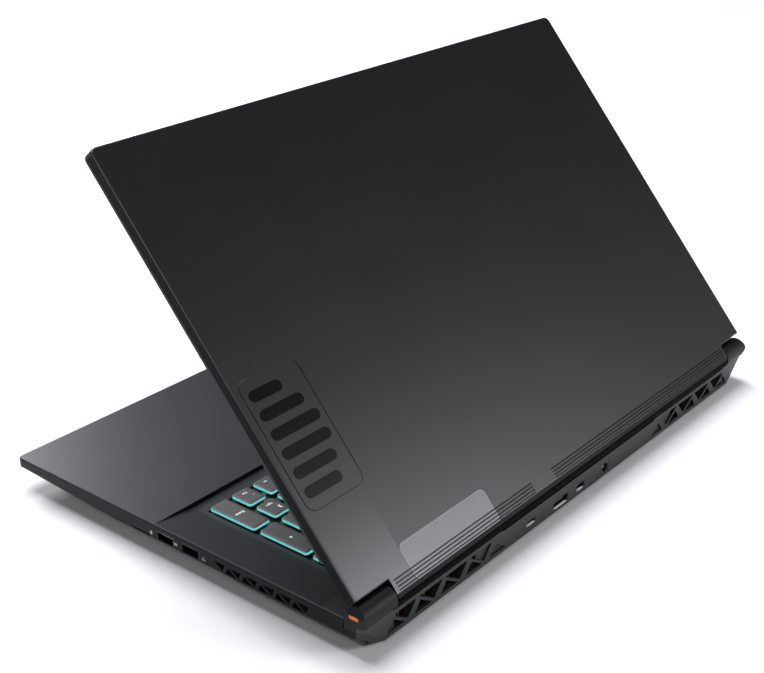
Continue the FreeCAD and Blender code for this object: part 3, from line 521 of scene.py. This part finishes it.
cornerWelder = weldTree(softShape)
for name, width in softEdges.items():
    soften(nodes[name], width * mm, cornerWelder, softShape)
print("soft edges on", len(softEdges), "nodes")

leastRadius = 0.01 * mm
tileTurn = 0.3  # share of a tile's edge where its slope bends


# a drawing plane: its own x, y and z laid along the three directions
def planeAt(origin, right, up, out):
    return Matrix.Translation(origin) @ Matrix((right, up, out)).transposed().to_4x4()


# on the lid x runs from the right edge to the left, y up the lid from the hinge line, z out of its back
def lidPlane():
    origin = hingePoint + lidOut * barrelRadius
    origin.x = rightEdge
    return planeAt(origin, Vector((-1, 0, 0)), lidUp, lidOut)


def roundedLoop(x, y, width, depth, radius, steps=6):
    loop = []
    for turn, (sideX, sideY) in enumerate(((1, -1), (1, 1), (-1, 1), (-1, -1))):
        for step in range(steps + 1):
            angle = math.radians(90 * (turn - 1) + 90 * step / steps)
            loop.append((
                x + sideX * (width / 2 - radius) + radius * math.cos(angle),
                y + sideY * (depth / 2 - radius) + radius * math.sin(angle),
            ))
    return loop


def joinRings(mesh, rings):
    for lower, upper in zip(rings, rings[1:]):
        for step in range(len(lower)):
            after = (step + 1) % len(lower)
            mesh.faces.new((lower[step], lower[after], upper[after], upper[step])).smooth = True


# a low raised tile on a plane: straight foot, then a small slope to its top
def tile(mesh, x, y, width, depth, radius, rise, edge, base=0.0, steps=6):
    bend = edge * tileTurn
    rings = []
    for inset, height in ((0.0, base), (0.0, rise - edge), (bend, rise - bend), (edge, rise)):
        corner = max(radius - inset, leastRadius)
        loop = roundedLoop(x, y, width - 2 * inset, depth - 2 * inset, corner, steps)
        rings.append([mesh.verts.new((px, py, height)) for px, py in loop])
    joinRings(mesh, rings)
    mesh.faces.new(rings[-1])


def piece(name, mesh, finish, body, plane=None, second=None):
    data = bpy.data.meshes.new(name)
    bmesh.ops.recalc_face_normals(mesh, faces=mesh.faces)
    mesh.to_mesh(data)
    mesh.free()
    if plane:
        data.transform(plane)
    item = bpy.data.objects.new(name, data)
    bpy.context.scene.collection.objects.link(item)
    data.materials.append(finish.material)
    if second:
        data.materials.append(second.material)
    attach(item, body)
    return item


glossInlay = satin(
    "glossInlay", (0.0016, 0.0017, 0.0020), 0.24, grain=0.25, depth=0.0005, drift=0.04, speckle=0.04,
    Specular_IOR_Level=0.3,
)
whiteMark = satin("whiteMark", (0.55, 0.55, 0.55), 0.5, grain=1.0)
orangePaint = satin("orangePaint", (0.75, 0.20, 0.03), 0.4, grain=1.0)
legendLook = dict(
    patch=3.0, dark=(0.75, 0.78, 0.78), pale=(0.9, 0.92, 0.92), roughness=0.5,
    glow=(0.75, 0.85, 0.85), strength=0.6,
)


def legendInk(name, look):
    finish = Finish(name)
    return finish.surface(
        Base_Color=finish.mix(finish.noise(look["patch"] * mm), look["dark"], look["pale"]),
        Roughness=look["roughness"],
        Emission_Color=look["glow"],
        Emission_Strength=look["strength"],
    )


legendPaint = legendInk("legendPaint", legendLook)

# decoration above the lid's lower right corner: stepped gloss bars with rounded ends inside a thin line
lidBars = dict(
    lengths=(26, 30, 34, 34, 30, 22), first=63, pitch=10.6, height=6.2, margin=7.5, rise=0.10, edge=0.05,
    line=(24.6, 89.5, 41.0, 72.0, 6.0), lineWidth=0.45, lineRise=0.05,
)


def lidDecoration(sizes):
    plane = lidPlane()
    bars = bmesh.new()
    for step, length in enumerate(sizes["lengths"]):
        x = (sizes["margin"] + length / 2) * mm
        y = (sizes["first"] + step * sizes["pitch"]) * mm
        height = sizes["height"] * mm
        radius = height / 2 - leastRadius
        tile(bars, x, y, length * mm, height, radius, sizes["rise"] * mm, sizes["edge"] * mm)
    piece("lid_gloss_bars", bars, glossInlay, "lid", plane)
    line = bmesh.new()
    x, y, width, depth, radius = inMetres(sizes["line"])
    wide = sizes["lineWidth"] * mm
    rise = sizes["lineRise"] * mm
    rings = []
    for inset, height in ((0.0, 0.0), (0.0, rise), (wide, rise), (wide, 0.0)):
        loop = roundedLoop(x, y, width - 2 * inset, depth - 2 * inset, radius - inset)
        rings.append([line.verts.new((px, py, height)) for px, py in loop])
    joinRings(line, rings)
    piece("lid_thin_line", line, glossInlay, "lid", plane)


lidDecoration(lidBars)
print("lid decoration made")


# small turned pieces: a profile of radius and height turned about an axis
def turned(mesh, place, profile, segments, flip=1):
    rings = []
    for radius, height in profile:
        ring = []
        for step in range(segments):
            angle = 2 * math.pi * step / segments
            spot = Vector((radius * math.cos(angle), flip * radius * math.sin(angle), flip * height))
            ring.append(mesh.verts.new(Vector(place) + spot * mm))
        rings.append(ring)
    joinRings(mesh, rings)
    mesh.faces.new(rings[-1])


# camera eye and microphone ports on the bezel; the ports are dark gloss dots, painted shade in place of holes
eye = dict(
    ring=((2.9, 0.0), (2.9, 0.10), (2.7, 0.20), (2.2, 0.20), (1.9, 0.02)),
    glass=((1.9, 0.0), (1.5, 0.06), (0.6, 0.10)), glassLift=0.02, segments=32,
    holes=(-24.0, -18.0, 18.0, 24.0), hole=((0.55, 0.0), (0.55, 0.03), (0.1, 0.03)), holeSegments=12,
    bezelAbove=150.0,
)


def cameraEye(sizes):
    low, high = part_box("camera_module")
    middle = (low + high) / 2
    corners = [corner.co for corner in nodes["lid_bezel"].data.vertices]
    upper = [corner for corner in corners if corner.z > sizes["bezelAbove"] * mm]
    face = max((corner - hingePoint).dot(-lidOut) for corner in upper)
    origin = hingePoint + lidUp * (middle - hingePoint).dot(lidUp) - lidOut * face
    origin.x = middle.x
    plane = planeAt(origin, Vector((1, 0, 0)), lidUp, -lidOut)
    ring = bmesh.new()
    turned(ring, (0, 0, 0), sizes["ring"], sizes["segments"])
    piece("camera_ring", ring, finishes["bezel_plastic"], "lid", plane)
    glass = bmesh.new()
    turned(glass, (0, 0, sizes["glassLift"] * mm), sizes["glass"], sizes["segments"])
    piece("camera_glass", glass, glossInlay, "lid", plane)
    # painted shade: dark gloss dots in place of the microphone holes
    holes = bmesh.new()
    for place in sizes["holes"]:
        turned(holes, (place * mm, 0, 0), sizes["hole"], sizes["holeSegments"])
    piece("microphone_holes", holes, glossInlay, "lid", plane)


cameraEye(eye)
print("camera eye made")

# bottom screws: low domed heads with a dark cross, a black slab of painted shade in place of the recess
screwShape = dict(
    places=(
        (-172, 112), (0, 112), (172, 112), (-176, 30), (176, 30), (0, 20), (-170, -98), (0, -98), (170, -98),
    ),
    head=((2.9, 0.0), (2.9, 0.20), (2.6, 0.36), (1.6, 0.44), (0.5, 0.46)), segments=24,
    cross=(2.6, 0.62), crossLevels=(0.3, 0.48), floor=1.8,
)


def bottomScrews(sizes):
    heads = bmesh.new()
    crosses = bmesh.new()
    for place in sizes["places"]:
        x, y, z = inMetres((*place, sizes["floor"]))
        turned(heads, (x, y, z), sizes["head"], sizes["segments"], -1)
        # painted shade: a raised black cross in place of each recess
        for size in (sizes["cross"], sizes["cross"][::-1]):
            width, depth = inMetres(size)
            corners = ((0.5, 0.5), (0.5, -0.5), (-0.5, -0.5), (-0.5, 0.5))
            loop = [(x + sideX * width, y + sideY * depth) for sideX, sideY in corners]
            rings = []
            for level in inMetres(sizes["crossLevels"]):
                rings.append([crosses.verts.new((px, py, z - level)) for px, py in loop])
            joinRings(crosses, rings)
            crosses.faces.new(rings[-1])
    piece("bottom_screws", heads, finishes["hinge_steel"], "base")
    piece("screw_crosses", crosses, finishes["socket_plastic"], "base")


bottomScrews(screwShape)
print("bottom screws made")

# plain white marks beside the right side's sockets, and the orange bar at the hinge cap's end
sideMarks = dict(
    tiles=(
        (-17.7, 14.0, 1.5, 2.1, 0.3), (1.3, 14.6, 2.4, 0.5, 0.2), (1.3, 13.7, 2.4, 0.5, 0.2),
        (22.3, 14.3, 0.8, 0.8, 0.1), (21.5, 13.0, 0.8, 0.8, 0.1), (23.1, 13.0, 0.8, 0.8, 0.1),
    ),
    tileForm=(0.04, 0.02, -0.1), tileSteps=3, bar=(125.3, 23.0, 6.0, 1.9), barForm=(0.12, 0.06, -0.2),
)


# on the right side x runs to the rear, y up and z outward; a form is a rise, an edge and a base
def sideDetails(sizes):
    plane = planeAt((rightEdge, 0, 0), Vector((0, 1, 0)), Vector((0, 0, 1)), Vector((1, 0, 0)))
    marks = bmesh.new()
    for outline in sizes["tiles"]:
        tile(marks, *inMetres(outline), *inMetres(sizes["tileForm"]), sizes["tileSteps"])
    piece("socket_marks", marks, whiteMark, "base", plane)
    bar = bmesh.new()
    y, z, width, height = inMetres(sizes["bar"])
    tile(bar, y, z, width, height, height / 2 - leastRadius, *inMetres(sizes["barForm"]))
    piece("hinge_cap_bar", bar, orangePaint, "base", plane)


sideDetails(sideMarks)
print("side marks made")

# keycaps: a lit skirt under a bevelled cap with a shallow dish, one piece for each row node
keyShape = dict(
    corner=1.5, leastCorner=0.35, steps=5, litRing=1,
    rings=(
        (0.0, -2.30), (0.0, -1.85), (0.05, -0.46), (0.12, -0.30), (0.30, -0.10), (0.62, 0.0), (2.2, -0.10),
    ),
    legend=4.2, word=2.9, small=2.1, ink=0.03, dish=0.10, upper=(-2.6, 2.2), lower=(0.0, -3.4), curveSteps=2,
)
arrowTurns = {"<": 180, ">": 0, "^": 90, "v": -90}
arrowCorners = ((0.40, 0, 0), (-0.25, 0.375, 0), (-0.25, -0.375, 0))
keyLegends = {
    "function_row_keys":
        ["Esc"] + ["F%d" % step for step in range(1, 13)] + ["Prt", "Del", "Home", "Up", "Dn", "End"],
    "number_row_keys": ["`"] + list("1234567890-=") + ["Back", "Num", "/", "*", "-"],
    "upper_letter_keys": ["Tab"] + list("QWERTYUIOP[]") + ["\\", "7 Home", "8", "9 PgUp"],
    "home_row_keys": ["Caps"] + list("ASDFGHJKL;'") + ["4", "5", "6"],
    "main_enter_key": ["Enter"],
    "lower_letter_keys": ["Shift"] + list("ZXCVBNM,./") + ["Shift", "1 End", "2", "3 PgDn"],
    "bottom_row_keys": ["Ctrl", "Fn", "Sys", "Alt", "Alt", "Ctrl"],
    "space_bar": [""],
    "arrow_keys": ["<", "v", "^", ">"],
    "pad_zero_key": ["0 Ins"],
    "pad_point_key": [". Del"],
    "pad_plus_key": ["+"],
    "pad_enter_key": ["Enter"],
}
sameCorner = 0.005 * mm
skirtGlow = litSkirt("skirtGlow", cyan, skirtLook)


# the separate keys of a node, as boxes sorted along the row
def keyBoxes(node):
    mesh = bmesh.new()
    mesh.from_mesh(nodes[node].data)
    bmesh.ops.remove_doubles(mesh, verts=mesh.verts, dist=sameCorner)
    left = set(mesh.verts)
    boxes = []
    while left:
        queue = [left.pop()]
        island = []
        while queue:
            corner = queue.pop()
            island.append(corner.co.copy())
            for edge in corner.link_edges:
                other = edge.other_vert(corner)
                if other in left:
                    left.remove(other)
                    queue.append(other)
        boxes.append([[fold(point[axis] for point in island) for fold in (min, max)] for axis in range(3)])
    mesh.free()
    return sorted(boxes, key=lambda box: (round(box[0][0], 5), box[1][0]))


def buildCap(mesh, box, sizes):
    (x0, x1), (y0, y1), (_, top) = box
    rings = []
    for inset, drop in (inMetres(ring) for ring in sizes["rings"]):
        radius = max(sizes["corner"] * mm - inset, sizes["leastCorner"] * mm)
        size = (x1 - x0 - 2 * inset, y1 - y0 - 2 * inset)
        loop = roundedLoop((x0 + x1) / 2, (y0 + y1) / 2, *size, radius, sizes["steps"])
        rings.append([mesh.verts.new((x, y, top + drop)) for x, y in loop])
    for level, (lower, upper) in enumerate(zip(rings, rings[1:])):
        for step in range(len(lower)):
            after = (step + 1) % len(lower)
            face = mesh.faces.new((lower[step], lower[after], upper[after], upper[step]))
            face.smooth = level > sizes["litRing"]
            face.material_index = 1 if level == sizes["litRing"] else 0
    mesh.faces.new(rings[-1])
    mesh.faces.new(rings[0][::-1])


def addWord(mesh, words, height, place, sizes):
    curve = bpy.data.curves.new("word", "FONT")
    curve.body = words
    curve.size = height * mm
    curve.align_x = "CENTER"
    curve.align_y = "CENTER"
    curve.extrude = sizes["ink"] * mm / 2
    curve.resolution_u = sizes["curveSteps"]
    holder = bpy.data.objects.new("word", curve)
    data = bpy.data.meshes.new_from_object(holder)
    data.transform(Matrix.Translation(place))
    mesh.from_mesh(data)
    bpy.data.objects.remove(holder)
    bpy.data.curves.remove(curve)
    bpy.data.meshes.remove(data)


def arrowHead(mesh, words, place, sizes):
    spin = Matrix.Rotation(math.radians(arrowTurns[words]), 3, "Z")
    corners = [place + spin @ Vector(corner) * sizes["legend"] * mm for corner in arrowCorners]
    levels = []
    for rise in (0, sizes["ink"] * mm):
        levels.append([mesh.verts.new(corner + Vector((0, 0, rise))) for corner in corners])
    for step in range(len(corners)):
        after = (step + 1) % len(corners)
        mesh.faces.new((levels[0][step], levels[0][after], levels[1][after], levels[1][step]))
    mesh.faces.new(levels[1])


def addLegend(mesh, legend, place, sizes):
    first, _, small = legend.partition(" ")
    if small:
        upper, lower = (place + Vector((*inMetres(sizes[row]), 0)) for row in ("upper", "lower"))
        addWord(mesh, first, sizes["legend"], upper, sizes)
        addWord(mesh, small, sizes["small"], lower, sizes)
    elif first:
        addWord(mesh, first, sizes["legend" if len(first) == 1 else "word"], place, sizes)


def buildKeys(sizes):
    for node, legends in keyLegends.items():
        caps = bmesh.new()
        inks = bmesh.new()
        for box, legend in zip(keyBoxes(node), legends):
            buildCap(caps, box, sizes)
            (x0, x1), (y0, y1), (_, top) = box
            place = Vector(((x0 + x1) / 2, (y0 + y1) / 2, top - sizes["dish"] * mm))
            if node == "arrow_keys":
                arrowHead(inks, legend, place, sizes)
            else:
                addLegend(inks, legend, place, sizes)
        body = node + "_body"
        name = node.replace("_keys", "").replace("_key", "")
        capPiece = piece(name + "_caps", caps, finishes["key_plastic"], body, second=skirtGlow)
        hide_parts(node)
        if len(inks.faces):
            piece(name + "_legends", inks, legendPaint, body)
        else:
            inks.free()


buildKeys(keyShape)
print("keys and legends made")

# studio: pale floor, an overhead soft box, a low light behind the lid's far side, a weak fill at the right
# and a light in front of the deck
studio = dict(
    floorSize=9.0, floorTone=0.92, floorDrop=0.2, fibre=3.0, fibreDetail=4.0, fibreShade=0.985,
    floorRoughness=0.9, floorSpecular=0.1, world=0.05, lampTint=(0.965, 0.985, 1.015),
    lamps=(
        ("overhead", (-0.20, -0.80, 2.10), (0.0, 0.0, 0.0), 1.6, 1.6, 61.0),
        ("behind", (-1.00, 1.75, 0.75), (0.0, 0.08, 0.06), 1.1, 0.5, 23.0),
        ("side", (1.60, 0.50, 1.20), (0.15, 0.0, 0.0), 1.0, 1.0, 7.0),
        ("ahead", (-0.53, -1.70, 0.96), (0.1, -0.05, 0.02), 0.5, 0.5, 22.0),
    ),
)


def buildFloor(sizes):
    paper = Finish("floorPaper")
    fibre = paper.noise(sizes["fibre"] * mm, sizes["fibreDetail"])
    tone = sizes["floorTone"]
    paper.surface(
        Base_Color=paper.mix(fibre, grey(tone * sizes["fibreShade"]), grey(tone)),
        Roughness=sizes["floorRoughness"],
        Specular_IOR_Level=sizes["floorSpecular"],
    )
    half = sizes["floorSize"] / 2
    corners = [(-half, -half, 0), (half, -half, 0), (half, half, 0), (-half, half, 0)]
    sheet = bpy.data.meshes.new("studio_floor")
    sheet.from_pydata(corners, [], [(0, 1, 2, 3)])
    sheet.materials.append(paper.material)
    item = bpy.data.objects.new("studio_floor", sheet)
    item.location.z = -sizes["floorDrop"] * mm
    bpy.context.scene.collection.objects.link(item)


def buildLights(sizes):
    world = bpy.data.worlds.new("studio")
    world.use_nodes = True
    world.node_tree.nodes["Background"].inputs[0].default_value = (*grey(sizes["world"]), 1)
    bpy.context.scene.world = world
    for name, place, target, width, height, power in sizes["lamps"]:
        data = bpy.data.lights.new(name, "AREA")
        data.shape = "RECTANGLE"
        data.size = width
        data.size_y = height
        data.energy = power
        data.color = sizes["lampTint"]
        lamp = bpy.data.objects.new(name, data)
        lamp.location = place
        lamp.rotation_euler = (Vector(target) - Vector(place)).to_track_quat("-Z", "Y").to_euler()
        bpy.context.scene.collection.objects.link(lamp)


buildFloor(studio)
buildLights(studio)
print("studio lit")

# camera fitted to the photograph's frame of 764 by 673
view = dict(
    target=(97.90, 73.30, 101.8), turn=129.010, height=25.700, roll=-0.208, distance=712.57,
    focal=1367.32, centre=(400.47, 367.19), frame=(764, 673), sensor=36.0, near=10.0,
)


def buildCamera(sizes):
    turn = math.radians(sizes["turn"])
    height = math.radians(sizes["height"])
    away = Vector((math.sin(turn) * math.cos(height), -math.cos(turn) * math.cos(height), math.sin(height)))
    target = Vector(sizes["target"]) * mm
    data = bpy.data.cameras.new("viewpoint")
    wide, high = sizes["frame"]
    data.sensor_fit = "HORIZONTAL"
    data.sensor_width = sizes["sensor"]
    data.lens = sizes["focal"] / wide * sizes["sensor"]
    data.shift_x = (wide / 2 - sizes["centre"][0]) / wide
    data.shift_y = (sizes["centre"][1] - high / 2) / wide
    data.clip_start = sizes["near"] * mm
    camera = bpy.data.objects.new("viewpoint", data)
    facing = away.to_track_quat("Z", "Y").to_matrix().to_4x4()
    rolled = facing @ Matrix.Rotation(math.radians(sizes["roll"]), 4, "Z")
    camera.matrix_world = Matrix.Translation(target + away * sizes["distance"] * mm) @ rolled
    bpy.context.scene.collection.objects.link(camera)
    bpy.context.scene.camera = camera


buildCamera(view)
bpy.context.scene.view_settings.view_transform = "Standard"
print("camera set")
